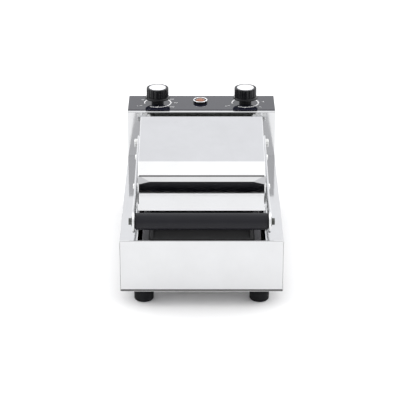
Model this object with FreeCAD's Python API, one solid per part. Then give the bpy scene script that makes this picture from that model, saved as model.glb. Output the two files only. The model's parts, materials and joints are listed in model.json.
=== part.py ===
import FreeCAD, Part
import math
import os

# Clamshell hot dog baker, millimetres.
# X runs to the right, Y to the back, Z up.  The origin lies on the table under the middle of the box.

Vector = FreeCAD.Vector

# ---- overall sizes ----
WIDTH = 250.0
DEPTH = 427.0
SHEET = 1.2
FOOT_HEIGHT = 26.8
PAN_TOP = FOOT_HEIGHT + SHEET
BOX_BOTTOM = 30.0
DECK_TOP = 113.2
PANEL_TOP = 192.4
OVERLAY_THICKNESS = 0.8
BEND_RADIUS = 1.8

HALF_WIDTH = WIDTH / 2
FRONT = -DEPTH / 2
BACK = DEPTH / 2
TOWER_FOOT_Y = 132.5
TOWER_TOP_Y = 137.1
TOWER_BEND_RADIUS = 1.8
OVERLAY_SETBACK = 7.0
SHEET_TOP = PANEL_TOP - OVERLAY_THICKNESS

# ---- recess in the deck ----
RECESS_HALF_WIDTH = 97.7
RECESS_FRONT = FRONT + 1.9
RECESS_BACK = 38.0
RECESS_FLANGE_DROP = 10.0

# ---- cooking plates ----
PLATE_HALF_WIDTH = 79.5
PLATE_BACK = 35.0
LOWER_PLATE_TOP = 114.4
LOWER_PLATE_BOTTOM = 98.0
UPPER_PLATE_BOTTOM = 114.9
UPPER_PLATE_TOP = 134.0
UPPER_PLATE_FRONT = -122.0
GROOVE_COUNT = 5
GROOVE_PITCH = 31.0
GROOVE_RADIUS = 11.5
GROOVE_FRONT = -112.0
GROOVE_BACK = 26.0

# ---- lid ----
LID_HALF_WIDTH = 99.6
LID_FRONT = -129.0
LID_BACK = 45.0
LID_BOTTOM = 127.3
HINGE_Y = 64.0
HINGE_Z = 164.0

# ---- arms and handle ----
ARM_INNER = 101.8
ARM_OUTER = 105.6
HANDLE_Y = -199.4
HANDLE_Z = 139.4
HANDLE_RADIUS = 13.0
HINGE_PIN_RADIUS = 4.0
RUNNING_GAP = 0.05

# ---- controls ----
KNOB_X = 75.0
CONTROL_Y = 176.5
KNOB_TOP = 221.0
SHAFT_RADIUS = 3.0

SHAPES = {}


def box(x0, x1, y0, y1, z0, z1):
    """Box between two corners."""
    return Part.makeBox(x1 - x0, y1 - y0, z1 - z0, Vector(x0, y0, z0))


def rod(radius, start, end, inner=0.0):
    """Round bar from one point to another, with an optional bore."""
    axis = end - start
    bar = Part.makeCylinder(radius, axis.Length, start, axis)
    if inner > 0:
        bar = bar.cut(Part.makeCylinder(inner, axis.Length, start, axis))
    return bar


def upright(radius, x, y, z0, z1, inner=0.0):
    """Vertical round bar."""
    return rod(radius, Vector(x, y, z0), Vector(x, y, z1), inner)


def crossways(radius, x0, x1, y, z, inner=0.0):
    """Round bar along X."""
    return rod(radius, Vector(x0, y, z), Vector(x1, y, z), inner)


def prism(points, x0, x1):
    """Outline in the YZ plane, extruded along X."""
    corners = [Vector(x0, y, z) for y, z in points]
    face = Part.Face(Part.makePolygon(corners + corners[:1]))
    return face.extrude(Vector(x1 - x0, 0, 0))


def fuse(pieces):
    """Join pieces into one clean solid."""
    whole = pieces[0]
    if len(pieces) > 1:
        whole = whole.fuse(pieces[1:])
    return whole.removeSplitter()


def cut(whole, tools):
    """Take tools away from a solid."""
    return whole.cut(tools).removeSplitter()


def mirrored(shape):
    """Mirror image on the other side of the middle plane."""
    return shape.mirror(Vector(0, 0, 0), Vector(1, 0, 0))


def group(pieces):
    """Separate solids that share one node."""
    solids = []
    for piece in pieces:
        solids.extend(piece.Solids)
    return Part.makeCompound(solids)


def edges_at(shape, test):
    """Edges whose middle point passes a test."""
    chosen = []
    for edge in shape.Edges:
        if test(edge.CenterOfMass):
            chosen.append(edge)
    return chosen


def near(value, target, tolerance=0.05):
    return abs(value - target) < tolerance


def hexagon(x, y, z0, z1, across):
    """Upright hexagonal prism, sized across its flats."""
    reach = across / math.sqrt(3)
    corners = []
    for step in range(6):
        angle = math.radians(60 * step)
        corners.append(Vector(x + reach * math.cos(angle), y + reach * math.sin(angle), z0))
    face = Part.Face(Part.makePolygon(corners + corners[:1]))
    return face.extrude(Vector(0, 0, z1 - z0))


def keep(name, shape):
    """Name a finished piece and check that its solids are sound."""
    if not shape.isValid() or not shape.Solids:
        raise RuntimeError("bad shape: " + name)
    SHAPES[name] = shape


# ---------------------------------------------------------------- housing

KNOB_PLACES = (-KNOB_X, KNOB_X)
BUSHING_RADIUS = 5.0
LAMP_NECK_RADIUS = 8.0
LAMP_X = -1.9
LAMP_Y = 181.5
DECK_LEAD = (0.0, 84.0)
GROMMET_HOLE = 6.0
SEAM_GAP = 0.3
BRACKET_SCREWS = [(x, HINGE_Y + step) for x in (-82.0, 82.0) for step in (-8.0, 8.0)]
BRACKET_SCREW_RADIUS = 2.0


def make_front_and_deck():
    """Front panel and deck, folded from one sheet, with the cut-out for the cooking plate."""
    seam = TOWER_FOOT_Y - SEAM_GAP
    outer = box(-HALF_WIDTH, HALF_WIDTH, FRONT, seam, BOX_BOTTOM, DECK_TOP)
    corner = edges_at(outer, lambda p: near(p.y, FRONT) and near(p.z, DECK_TOP))
    outer = outer.makeFillet(BEND_RADIUS, corner)
    inner = box(-HALF_WIDTH, HALF_WIDTH, FRONT + SHEET, seam, BOX_BOTTOM, DECK_TOP - SHEET)
    corner = edges_at(inner, lambda p: near(p.y, FRONT + SHEET) and near(p.z, DECK_TOP - SHEET))
    inner = inner.makeFillet(BEND_RADIUS - SHEET, corner)
    recess = box(-RECESS_HALF_WIDTH, RECESS_HALF_WIDTH, RECESS_FRONT, RECESS_BACK, 90, 130)
    lead_hole = upright(GROMMET_HOLE, DECK_LEAD[0], DECK_LEAD[1], 100, 130)
    screw_holes = [upright(BRACKET_SCREW_RADIUS, x, y, 100, 130) for x, y in BRACKET_SCREWS]
    sheet = cut(outer, [inner, recess, lead_hole] + screw_holes)
    flange_foot = DECK_TOP - RECESS_FLANGE_DROP
    flange_side = RECESS_HALF_WIDTH + SHEET
    flange = box(RECESS_HALF_WIDTH, flange_side, RECESS_FRONT, RECESS_BACK, flange_foot, DECK_TOP - SHEET)
    return fuse([sheet, flange, mirrored(flange)])


def tower_outline(inset):
    """Outline of the tower from the deck up, drawn inwards by an inset."""
    lean = (TOWER_TOP_Y - TOWER_FOOT_Y) / (SHEET_TOP - DECK_TOP)
    foot_z = DECK_TOP - SHEET
    top_z = SHEET_TOP - inset
    foot_y = TOWER_FOOT_Y + inset + lean * (foot_z - DECK_TOP)
    top_y = TOWER_FOOT_Y + inset + lean * (top_z - DECK_TOP)
    return [(foot_y, foot_z), (top_y, top_z), (BACK, top_z), (BACK, foot_z)]


def make_tower_panel():
    """Tower front and top, folded from one sheet, with holes for the controls."""
    outer = prism(tower_outline(0.0), -HALF_WIDTH, HALF_WIDTH)
    ridge = edges_at(outer, lambda p: near(p.z, SHEET_TOP) and p.y < TOWER_TOP_Y + 1)
    outer = outer.makeFillet(TOWER_BEND_RADIUS, ridge)
    inner = prism(tower_outline(SHEET), -HALF_WIDTH, HALF_WIDTH)
    holes = [upright(BUSHING_RADIUS, x, CONTROL_Y, 180, 200) for x in KNOB_PLACES]
    holes.append(upright(LAMP_NECK_RADIUS, LAMP_X, LAMP_Y, 180, 200))
    return cut(outer, [inner] + holes)


FLANGE_WIDTH = 12.0
REAR_COVER_Y = BACK - 4.2
COVER_SCREWS = [(x, z) for x in (-118.0, 118.0) for z in (42.0, 110.0, 180.0)]
SCREW_RADIUS = 1.8


def make_side_panel(front_and_deck, tower):
    """Right-hand side sheet with the tower's outline and a flange for the rear cover."""
    inner_x = HALF_WIDTH - SHEET
    low = box(inner_x, HALF_WIDTH, FRONT + SHEET, BACK, BOX_BOTTOM, DECK_TOP - SHEET)
    high = prism(tower_outline(SHEET), inner_x, HALF_WIDTH)
    flange_x = inner_x - FLANGE_WIDTH
    flange = box(flange_x, inner_x, REAR_COVER_Y - SHEET, REAR_COVER_Y, BOX_BOTTOM, SHEET_TOP - SHEET)
    holes = []
    for x, z in COVER_SCREWS:
        if x > 0:
            holes.append(rod(SCREW_RADIUS, Vector(x, BACK - 20, z), Vector(x, BACK + 5, z)))
    return cut(fuse([low, high, flange]), [front_and_deck, tower] + holes)


GLAND_X = 85.0
GLAND_Z = 58.0
GLAND_BODY_RADIUS = 8.0
VENT_ROWS = 7
VENT_PITCH = 7.0
VENT_HEIGHT = 2.6
VENT_HALF_LENGTH = 24.0
VENT_LOWEST = 128.0


def make_rear_cover():
    """Flat rear cover with rows of cooling slots, set in between the side sheets."""
    edge = HALF_WIDTH - SHEET - 0.3
    plate = box(-edge, edge, REAR_COVER_Y, REAR_COVER_Y + SHEET, BOX_BOTTOM, SHEET_TOP - SHEET - 0.2)
    tools = []
    near_y = REAR_COVER_Y - 4
    far_y = REAR_COVER_Y + 6
    for row in range(VENT_ROWS):
        z = VENT_LOWEST + VENT_PITCH * row
        for x in (-62.0, 0.0, 62.0):
            slot = box(x - VENT_HALF_LENGTH, x + VENT_HALF_LENGTH, near_y, far_y, z, z + VENT_HEIGHT)
            tools.append(slot)
    tools.append(rod(GLAND_BODY_RADIUS, Vector(GLAND_X, near_y, GLAND_Z), Vector(GLAND_X, far_y, GLAND_Z)))
    for x, z in COVER_SCREWS:
        tools.append(rod(SCREW_RADIUS, Vector(x, near_y, z), Vector(x, far_y, z)))
    return cut(plate, tools)


def make_rear_cover_screws():
    """Pan-head screws that hold the rear cover to the side flanges."""
    screws = []
    seat = REAR_COVER_Y + SHEET
    head_top = seat + 2.0
    for x, z in COVER_SCREWS:
        head = rod(3.4, Vector(x, seat, z), Vector(x, head_top, z))
        head = head.makeFillet(1.2, edges_at(head, lambda p: near(p.y, head_top)))
        slot = box(x - 0.5, x + 0.5, head_top - 0.9, head_top + 1, z - 2.2, z + 2.2)
        shank = rod(SCREW_RADIUS, Vector(x, REAR_COVER_Y - 7, z), Vector(x, seat, z))
        screws.append(fuse([cut(head, [slot]), shank]))
    return group(screws)


FOOT_X = 90.0
FOOT_Y = 182.5
FOOT_TOP_RADIUS = 15.9
FOOT_BASE_RADIUS = 15.0
FOOT_BORE_RADIUS = 5.5
FOOT_BORE_DEPTH = 14.0
FOOT_SCREW_RADIUS = 2.5
PAN_RIM = 6.0
PAN_GAP = 0.2
FOOT_PLACES = [(x, y) for y in (-FOOT_Y, FOOT_Y) for x in (-FOOT_X, FOOT_X)]
FOOT_NAMES = ("foot_front_left", "foot_front_right", "foot_rear_left", "foot_rear_right")


def make_bottom_pan():
    """Shallow pan that closes the box from below, with cooling slots and foot screw holes."""
    inset = SHEET + PAN_GAP
    back = REAR_COVER_Y - inset
    rim_top = BOX_BOTTOM + PAN_RIM
    side = HALF_WIDTH - inset
    outer = box(-side, side, FRONT + inset, back, FOOT_HEIGHT, rim_top)
    inner = box(-side + SHEET, side - SHEET, FRONT + inset + SHEET, back - SHEET, PAN_TOP, rim_top)
    tools = [inner]
    notch = FLANGE_WIDTH + 0.4
    for x in (-side, side - notch):
        tools.append(box(x, x + notch, back - SHEET - 0.8, back, PAN_TOP, rim_top))
    for x, y in FOOT_PLACES:
        tools.append(upright(FOOT_SCREW_RADIUS, x, y, 20, 40))
    for column in range(-4, 5):
        x = 18.0 * column
        for y in (-110.0, 60.0):
            tools.append(box(x - 2.5, x + 2.5, y, y + 60, 20, 40))
    return cut(outer, tools)


def make_foot(x, y):
    """Tapered rubber foot with a recessed screw hole."""
    foot = Part.makeCone(FOOT_BASE_RADIUS, FOOT_TOP_RADIUS, FOOT_HEIGHT, Vector(x, y, 0), Vector(0, 0, 1))
    rim = edges_at(foot, lambda p: near(p.z, 0))
    foot = foot.makeFillet(3.0, rim)
    bore = upright(FOOT_BORE_RADIUS, x, y, 0, FOOT_BORE_DEPTH)
    return cut(foot, [bore, upright(FOOT_SCREW_RADIUS, x, y, 10, 40)])


def make_foot_screws():
    """Screw and nut in each foot."""
    screws = []
    for x, y in FOOT_PLACES:
        head = upright(4.6, x, y, FOOT_BORE_DEPTH - 3, FOOT_BORE_DEPTH)
        shank = upright(FOOT_SCREW_RADIUS, x, y, FOOT_BORE_DEPTH, PAN_TOP + 7)
        nut = hexagon(x, y, PAN_TOP, PAN_TOP + 4.0, 8.0)
        screws.append(fuse([head, shank, nut]))
    return group(screws)


def make_panel_overlay():
    """Glossy black plate on top of the tower."""
    side = HALF_WIDTH - 0.2
    plate = box(-side, side, TOWER_TOP_Y + OVERLAY_SETBACK, BACK, SHEET_TOP, PANEL_TOP)
    holes = [upright(BUSHING_RADIUS, x, CONTROL_Y, 180, 200) for x in KNOB_PLACES]
    holes.append(upright(LAMP_NECK_RADIUS, LAMP_X, LAMP_Y, 180, 200))
    return cut(plate, holes)


# ---------------------------------------------------------------- lower plate and what carries it

BAR_TOP = LOWER_PLATE_BOTTOM
BAR_BOTTOM = 93.0
FRONT_BAR_Y = -196.0
REAR_BAR_Y = 22.0
BAR_WIDTH = 16.0
PLATE_BOLTS = [(x, y) for x in (-68.0, 68.0) for y in (FRONT_BAR_Y, REAR_BAR_Y)]
PLATE_BOLT_RADIUS = 2.5
PLATE_BOLT_REACH = 5.5
APRON_FLOOR = 106.0
RAIL_TOP = 112.0
RAIL_GAP = 6.7


def groove(x, parting_z):
    """Sausage-shaped hollow centred on the parting plane."""
    start = GROOVE_FRONT + GROOVE_RADIUS
    end = GROOVE_BACK - GROOVE_RADIUS
    middle = rod(GROOVE_RADIUS, Vector(x, start, parting_z), Vector(x, end, parting_z))
    nose = Part.makeSphere(GROOVE_RADIUS, Vector(x, start, parting_z))
    tail = Part.makeSphere(GROOVE_RADIUS, Vector(x, end, parting_z))
    return fuse([middle, nose, tail])


def groove_places():
    first = -GROOVE_PITCH * (GROOVE_COUNT - 1) / 2
    return [first + GROOVE_PITCH * index for index in range(GROOVE_COUNT)]


def make_lower_plate():
    """Cast lower plate: grooves under the lid, a drip apron with a raised front wall, and a lug."""
    front = RECESS_FRONT + 1.0
    casting = box(-PLATE_HALF_WIDTH, PLATE_HALF_WIDTH, front, PLATE_BACK, LOWER_PLATE_BOTTOM, LOWER_PLATE_TOP)
    apron_side = PLATE_HALF_WIDTH - 5
    apron = box(-apron_side, apron_side, front + 6, UPPER_PLATE_FRONT - 3, APRON_FLOOR, 130)
    tools = [apron]
    for x in groove_places():
        tools.append(groove(x, LOWER_PLATE_TOP))
    for x, y in PLATE_BOLTS:
        tools.append(upright(PLATE_BOLT_RADIUS, x, y, 80, LOWER_PLATE_BOTTOM + PLATE_BOLT_REACH))
    lug = box(-11.5, 11.5, front + 3, front + 12, APRON_FLOOR - 1, LOWER_PLATE_TOP - 1.2)
    return fuse([cut(casting, tools), lug])


def make_lower_plate_bolts():
    """Bolts that hold the lower plate on its bars, from below."""
    bolts = []
    for x, y in PLATE_BOLTS:
        shank = upright(PLATE_BOLT_RADIUS, x, y, BAR_BOTTOM, LOWER_PLATE_BOTTOM + PLATE_BOLT_REACH)
        head = hexagon(x, y, BAR_BOTTOM - 3.5, BAR_BOTTOM, 8.0)
        bolts.append(fuse([shank, head]))
    return group(bolts)


def make_plate_rail():
    """Right-hand cast block in the recess beside the lower plate."""
    inner_x = PLATE_HALF_WIDTH + 0.2
    outer_x = RECESS_HALF_WIDTH - RAIL_GAP
    rail = box(inner_x, outer_x, RECESS_FRONT + 1.0, PLATE_BACK, BAR_TOP, RAIL_TOP)
    return rail.makeFillet(1.5, edges_at(rail, lambda p: near(p.z, RAIL_TOP)))


def make_support_bar(y):
    """Flat bar across the box that carries the lower plate, turned down at its ends."""
    reach = HALF_WIDTH - SHEET - 0.1
    bar = box(-reach, reach, y - BAR_WIDTH / 2, y + BAR_WIDTH / 2, BAR_BOTTOM, BAR_TOP)
    ears = []
    for side in (-1, 1):
        x0, x1 = sorted((side * reach, side * (reach - 3.0)))
        ears.append(box(x0, x1, y - BAR_WIDTH / 2, y + BAR_WIDTH / 2, 70, BAR_BOTTOM))
    holes = []
    for bolt_x, bolt_y in PLATE_BOLTS:
        if bolt_y == y:
            holes.append(upright(PLATE_BOLT_RADIUS, bolt_x, bolt_y, 80, 110))
    return cut(fuse([bar] + ears), holes)


ELEMENT_RADIUS = 3.6


def make_element(leg_x, y_front, y_back, z, tail_y):
    """Tubular heating element: parallel legs joined by half-round bends, in one plane."""
    pieces = []
    last = len(leg_x) - 1
    for index, x in enumerate(leg_x):
        legs_end = tail_y if index in (0, last) else y_back
        pieces.append(rod(ELEMENT_RADIUS, Vector(x, y_front, z), Vector(x, legs_end, z)))
    for index in range(last):
        middle = (leg_x[index] + leg_x[index + 1]) / 2
        bend = (leg_x[index + 1] - leg_x[index]) / 2
        at_front = index % 2 == 0
        y = y_front if at_front else y_back
        ring = Part.makeTorus(bend, ELEMENT_RADIUS, Vector(middle, y, z), Vector(0, 0, 1))
        reach = bend + ELEMENT_RADIUS + 1
        if at_front:
            half = box(middle - reach, middle + reach, y - reach, y, z - 5, z + 5)
        else:
            half = box(middle - reach, middle + reach, y, y + reach, z - 5, z + 5)
        pieces.append(ring.common(half))
    return fuse(pieces)


LOWER_ELEMENT_Z = LOWER_PLATE_BOTTOM - ELEMENT_RADIUS
LEG_PLACES = (-46.5, -15.5, 15.5, 46.5)
TRAY_HALF_WIDTH = 76.0
TRAY_FRONT = -150.0
TRAY_BACK = 10.0
TRAY_BOTTOM = 74.0
TRAY_TOP = 88.0


def make_reflector_pan():
    """Shallow tray below the lower element, on four posts."""
    side = TRAY_HALF_WIDTH
    outer = box(-side, side, TRAY_FRONT, TRAY_BACK, TRAY_BOTTOM, TRAY_TOP)
    hollow = (TRAY_FRONT + SHEET, TRAY_BACK - SHEET, TRAY_BOTTOM + SHEET, TRAY_TOP + 1)
    inner = box(-side + SHEET, side - SHEET, *hollow)
    posts = []
    for x in (-60.0, 60.0):
        for y in (TRAY_FRONT + 10, TRAY_BACK - 10):
            posts.append(box(x - 5, x + 5, y - 5, y + 5, PAN_TOP, TRAY_BOTTOM))
    return fuse([cut(outer, [inner])] + posts)


def make_lower_insulation():
    """Mineral wool slab in the tray."""
    side = TRAY_HALF_WIDTH - SHEET - 0.8
    return box(-side, side, TRAY_FRONT + 2, TRAY_BACK - 2, TRAY_BOTTOM + SHEET, TRAY_TOP - 2)


SHIELD_Y = 108.0
CAPILLARY_PASS = (96.0, 80.0)


def make_heat_shield():
    """Upright sheet between the cooking side and the controls, with a foot and two openings."""
    reach = HALF_WIDTH - 2 * SHEET - 0.5
    face = SHIELD_Y + SHEET
    wall = box(-reach, reach, SHIELD_Y, face, PAN_TOP, DECK_TOP - SHEET - 0.2)
    foot = box(-58, 58, SHIELD_Y, face + 22, PAN_TOP, PAN_TOP + SHEET)
    wire_pass = box(-70, -55, SHIELD_Y - 5, face + 5, 60, 75)
    x, z = CAPILLARY_PASS
    tube_pass = rod(3.0, Vector(x, SHIELD_Y - 5, z), Vector(x, face + 5, z))
    return cut(fuse([wall, foot]), [wire_pass, tube_pass])


# ---------------------------------------------------------------- hinge

BRACKET_INNER = 94.0
BRACKET_THICKNESS = 3.0
BRACKET_OUTER = BRACKET_INNER + BRACKET_THICKNESS
BRACKET_HALF_DEPTH = 14.0


def make_hinge_bracket():
    """Right-hand bracket: an upright ear with a foot on the deck."""
    y0 = HINGE_Y - BRACKET_HALF_DEPTH
    y1 = HINGE_Y + BRACKET_HALF_DEPTH
    ear = box(BRACKET_INNER, BRACKET_OUTER, y0, y1, DECK_TOP, HINGE_Z)
    crown = crossways(BRACKET_HALF_DEPTH, BRACKET_INNER, BRACKET_OUTER, HINGE_Y, HINGE_Z)
    foot = box(BRACKET_INNER - 22, BRACKET_INNER, y0, y1, DECK_TOP, DECK_TOP + BRACKET_THICKNESS)
    holes = [crossways(HINGE_PIN_RADIUS, 90, 100, HINGE_Y, HINGE_Z)]
    for x, y in BRACKET_SCREWS:
        if x > 0:
            holes.append(upright(BRACKET_SCREW_RADIUS, x, y, 100, 130))
    return cut(fuse([ear, crown, foot]), holes)


def make_hinge_bracket_screws():
    """Screws and nuts that hold the brackets to the deck."""
    screws = []
    for x, y in BRACKET_SCREWS:
        seat = DECK_TOP + BRACKET_THICKNESS
        head = upright(3.8, x, y, seat, seat + 2.4)
        shank = upright(BRACKET_SCREW_RADIUS, x, y, DECK_TOP - 8, seat)
        nut = hexagon(x, y, DECK_TOP - SHEET - 3.2, DECK_TOP - SHEET, 7.0)
        screws.append(fuse([head, shank, nut]))
    return group(screws)


def make_hinge_bolt():
    """Right-hand shoulder bolt and its nut."""
    seat = ARM_OUTER + 0.4
    top = seat + 5.0
    shank = crossways(HINGE_PIN_RADIUS, BRACKET_INNER - 5.5, seat, HINGE_Y, HINGE_Z)
    head = crossways(7.0, seat, top, HINGE_Y, HINGE_Z)
    head = head.makeFillet(1.0, edges_at(head, lambda p: near(p.x, top)))
    socket = crossways(2.6, top - 2.8, top + 1, HINGE_Y, HINGE_Z)
    nut = crossways(6.5, BRACKET_INNER - 4.5, BRACKET_INNER, HINGE_Y, HINGE_Z)
    return fuse([shank, cut(head, [socket]), nut])


def make_hinge_bush():
    """Right-hand spacer bush between bracket and arm."""
    return crossways(7.5, BRACKET_OUTER, ARM_INNER - 0.3, HINGE_Y, HINGE_Z, HINGE_PIN_RADIUS)


# ---------------------------------------------------------------- lid

ARM_WAIST = (-150.0, 144.0)
ARM_TIP_RADIUS = 17.5
ARM_WAIST_RADIUS = 9.5
ARM_HEEL_RADIUS = 13.0
ARM_EDGE_RADIUS = 1.6
SIDE_BOLTS = [(-87.0, 149.7), (12.0, 159.2)]
SIDE_BOLT_RADIUS = 2.5
HANDLE_SCREW_RADIUS = 3.0
HANDLE_SCREW_DEPTH = 24.0
HANDLE_END_RADIUS = 3.0


def arm_taper(y0, z0, r0):
    """Stretch of the arm from a round end to its waist, bounded by the two circles' tangents."""
    y1, z1 = ARM_WAIST
    r1 = ARM_WAIST_RADIUS
    run = math.hypot(y1 - y0, z1 - z0)
    heading = math.atan2(z1 - z0, y1 - y0)
    spread = math.acos((r0 - r1) / run)
    outline = []
    for side in (1, -1):
        angle = heading + side * spread
        near_end = (y0 + r0 * math.cos(angle), z0 + r0 * math.sin(angle))
        far_end = (y1 + r1 * math.cos(angle), z1 + r1 * math.sin(angle))
        outline.extend([near_end, far_end] if side == 1 else [far_end, near_end])
    round_end = crossways(r0, ARM_INNER, ARM_OUTER, y0, z0)
    waist = crossways(r1, ARM_INNER, ARM_OUTER, y1, z1)
    return fuse([prism(outline, ARM_INNER, ARM_OUTER), round_end, waist])


def make_lid_arm():
    """Right-hand arm plate from the handle to the hinge."""
    front = arm_taper(HANDLE_Y, HANDLE_Z, ARM_TIP_RADIUS)
    back = arm_taper(HINGE_Y, HINGE_Z, ARM_HEEL_RADIUS)
    blank = fuse([front, back])
    rims = edges_at(blank, lambda p: near(p.x, ARM_INNER) or near(p.x, ARM_OUTER))
    blank = blank.makeFillet(ARM_EDGE_RADIUS, rims)
    through = (ARM_INNER - 2, ARM_OUTER + 2)
    holes = [crossways(HINGE_PIN_RADIUS + RUNNING_GAP, *through, HINGE_Y, HINGE_Z)]
    holes.append(crossways(HANDLE_SCREW_RADIUS, *through, HANDLE_Y, HANDLE_Z))
    for y, z in SIDE_BOLTS:
        holes.append(crossways(SIDE_BOLT_RADIUS, *through, y, z))
    return cut(blank, holes)


def make_handle():
    """Round grip bar with a threaded hole in each end."""
    reach = ARM_INNER
    bar = crossways(HANDLE_RADIUS, -reach, reach, HANDLE_Y, HANDLE_Z)
    bar = bar.makeFillet(HANDLE_END_RADIUS, edges_at(bar, lambda p: near(abs(p.x), reach)))
    hole = crossways(HANDLE_SCREW_RADIUS, reach - HANDLE_SCREW_DEPTH, reach + 1, HANDLE_Y, HANDLE_Z)
    return cut(bar, [hole, mirrored(hole)])


def make_handle_screws():
    """One socket screw with a washer at each end of the grip bar."""
    seat = ARM_OUTER + 1.2
    top = seat + 4.4
    shank_end = ARM_INNER - HANDLE_SCREW_DEPTH + 1
    shank = crossways(HANDLE_SCREW_RADIUS, shank_end, ARM_OUTER, HANDLE_Y, HANDLE_Z)
    washer = crossways(7.5, ARM_OUTER, seat, HANDLE_Y, HANDLE_Z)
    head = crossways(5.2, seat, top, HANDLE_Y, HANDLE_Z)
    socket = crossways(2.4, top - 2.8, top + 1, HANDLE_Y, HANDLE_Z)
    right = fuse([shank, washer, cut(head, [socket])])
    return group([right, mirrored(right)])


FLARE_TOP = 152.5
FLARE_DEGREES = 9.5
BEVEL_FOOT = 175.3
BEVEL_RISE = 8.5
BEVEL_RUN = 6.6
BROW_RUN = 29.6
BROW_RISE = 10.8
LID_TOP_BACK = 217.6


def lid_outline(inset):
    """Closed face in the YZ plane at X = 0: the lid's side view, drawn inwards by an inset.

    The front flares gently forwards at its foot, stands upright, and turns back over a narrow
    bevel and a brow into the long top, which rises towards the hinge.
    """
    drop = FLARE_TOP - LID_BOTTOM
    angle = math.radians(FLARE_DEGREES)
    flare = drop * math.tan(angle / 2)
    quarter = drop * math.tan(angle / 4) / 2
    foot = Vector(0, LID_FRONT - flare, LID_BOTTOM)
    middle = Vector(0, LID_FRONT - quarter, (FLARE_TOP + LID_BOTTOM) / 2)
    upright_start = Vector(0, LID_FRONT, FLARE_TOP)
    bevel_start = Vector(0, LID_FRONT, BEVEL_FOOT)
    brow_start = Vector(0, LID_FRONT + BEVEL_RUN, BEVEL_FOOT + BEVEL_RISE)
    top_start = brow_start + Vector(0, BROW_RUN, BROW_RISE)
    top_end = Vector(0, LID_BACK, LID_TOP_BACK)
    back_foot = Vector(0, LID_BACK, LID_BOTTOM)
    edges = [Part.Arc(foot, middle, upright_start).toShape()]
    corners = [upright_start, bevel_start, brow_start, top_start, top_end, back_foot, foot]
    for start, end in zip(corners, corners[1:]):
        edges.append(Part.makeLine(start, end))
    wire = Part.Wire(edges)
    if inset > 0:
        wire = wire.makeOffset2D(-inset, 2)
    return Part.Face(wire)


REAR_LEAD_Z = 146.0
CORNER_RUN = 19.3
CORNER_DROP = 4.8


def bevel_corner_blocks(inset):
    """Blocks that shave a slanted facet off both ends of the lid's bevel, drawn inwards by an inset."""
    run_start = Vector(LID_HALF_WIDTH - CORNER_RUN, LID_FRONT, BEVEL_FOOT)
    low_end = Vector(LID_HALF_WIDTH, LID_FRONT, BEVEL_FOOT - CORNER_DROP)
    high_end = Vector(LID_HALF_WIDTH, LID_FRONT + BEVEL_RUN, BEVEL_FOOT + BEVEL_RISE)
    outwards = (low_end - run_start).cross(high_end - run_start)
    outwards.normalize()
    block = Part.makeBox(80, 80, 20, Vector(-40, -40, 0))
    turn = FreeCAD.Rotation(Vector(0, 0, 1), outwards)
    block.Placement = FreeCAD.Placement(run_start - outwards * inset, turn)
    return [block, mirrored(block)]


def make_lid_cover():
    """Polished cover over the upper plate, open underneath."""
    outer = lid_outline(0.0).extrude(Vector(2 * LID_HALF_WIDTH, 0, 0))
    outer.translate(Vector(-LID_HALF_WIDTH, 0, 0))
    flanks = edges_at(outer, lambda p: near(abs(p.x), LID_HALF_WIDTH) and p.z > LID_BOTTOM + 1)
    outer = outer.makeFillet(2.0, flanks)
    outer = cut(outer, bevel_corner_blocks(0.0))
    side = LID_HALF_WIDTH - SHEET
    inner = lid_outline(SHEET).extrude(Vector(2 * side, 0, 0))
    inner.translate(Vector(-side, 0, 0))
    mouth = box(-side, side, LID_FRONT + SHEET, LID_BACK - SHEET, LID_BOTTOM - 5, FLARE_TOP - 10)
    hollow = cut(fuse([inner, mouth]), bevel_corner_blocks(SHEET))
    tools = [hollow]
    lead = Vector(0, LID_BACK, REAR_LEAD_Z)
    tools.append(rod(GROMMET_HOLE, lead - Vector(0, 5, 0), lead + Vector(0, 5, 0)))
    for y, z in SIDE_BOLTS:
        tools.append(crossways(SIDE_BOLT_RADIUS, -ARM_OUTER, ARM_OUTER, y, z))
    return cut(outer, tools)


UPPER_BOLTS = [(x, y) for x in (-70.0, 70.0) for y in (-116.0, 24.0)]
UPPER_BOLT_FOOT = UPPER_PLATE_TOP - 8.0
FRAME_BOTTOM = UPPER_PLATE_TOP
FRAME_TOP = FRAME_BOTTOM + 2.0


def upper_bolt_shanks():
    """Shanks of the upper plate's bolts, which are also the shape of their holes."""
    return [upright(PLATE_BOLT_RADIUS, x, y, UPPER_BOLT_FOOT, FRAME_TOP) for x, y in UPPER_BOLTS]


def make_upper_plate():
    """Cast upper plate with the matching grooves and bolt holes."""
    side = PLATE_HALF_WIDTH
    casting = box(-side, side, UPPER_PLATE_FRONT, PLATE_BACK, UPPER_PLATE_BOTTOM, UPPER_PLATE_TOP)
    tools = [groove(x, UPPER_PLATE_BOTTOM) for x in groove_places()]
    return cut(casting, tools + upper_bolt_shanks())


def make_lid_base_frame():
    """Flat frame inside the cover that the upper plate is bolted to."""
    margin = SHEET + 0.3
    plate = box(
        -LID_HALF_WIDTH + margin, LID_HALF_WIDTH - margin,
        LID_FRONT + margin, LID_BACK - margin, FRAME_BOTTOM, FRAME_TOP)
    window = box(-58, 58, -105, 14, FRAME_BOTTOM - 1, FRAME_TOP + 1)
    return cut(plate, [window] + upper_bolt_shanks())


def make_upper_plate_bolts():
    """Bolts from the frame down into the upper plate."""
    bolts = []
    for shank, place in zip(upper_bolt_shanks(), UPPER_BOLTS):
        head = hexagon(*place, FRAME_TOP, FRAME_TOP + 3.5, 8.0)
        bolts.append(fuse([shank, head]))
    return group(bolts)


def make_lid_insulation():
    """Mineral wool slab above the upper element."""
    return box(-90, 90, LID_FRONT + 9, LID_BACK - 12, UPPER_PLATE_TOP + 9, UPPER_PLATE_TOP + 33)


def make_lid_spacers():
    """Spacers between the cover and the arms."""
    pieces = []
    for y, z in SIDE_BOLTS:
        spacer = crossways(6.0, LID_HALF_WIDTH, ARM_INNER, y, z, SIDE_BOLT_RADIUS)
        pieces.extend([spacer, mirrored(spacer)])
    return group(pieces)


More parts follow.
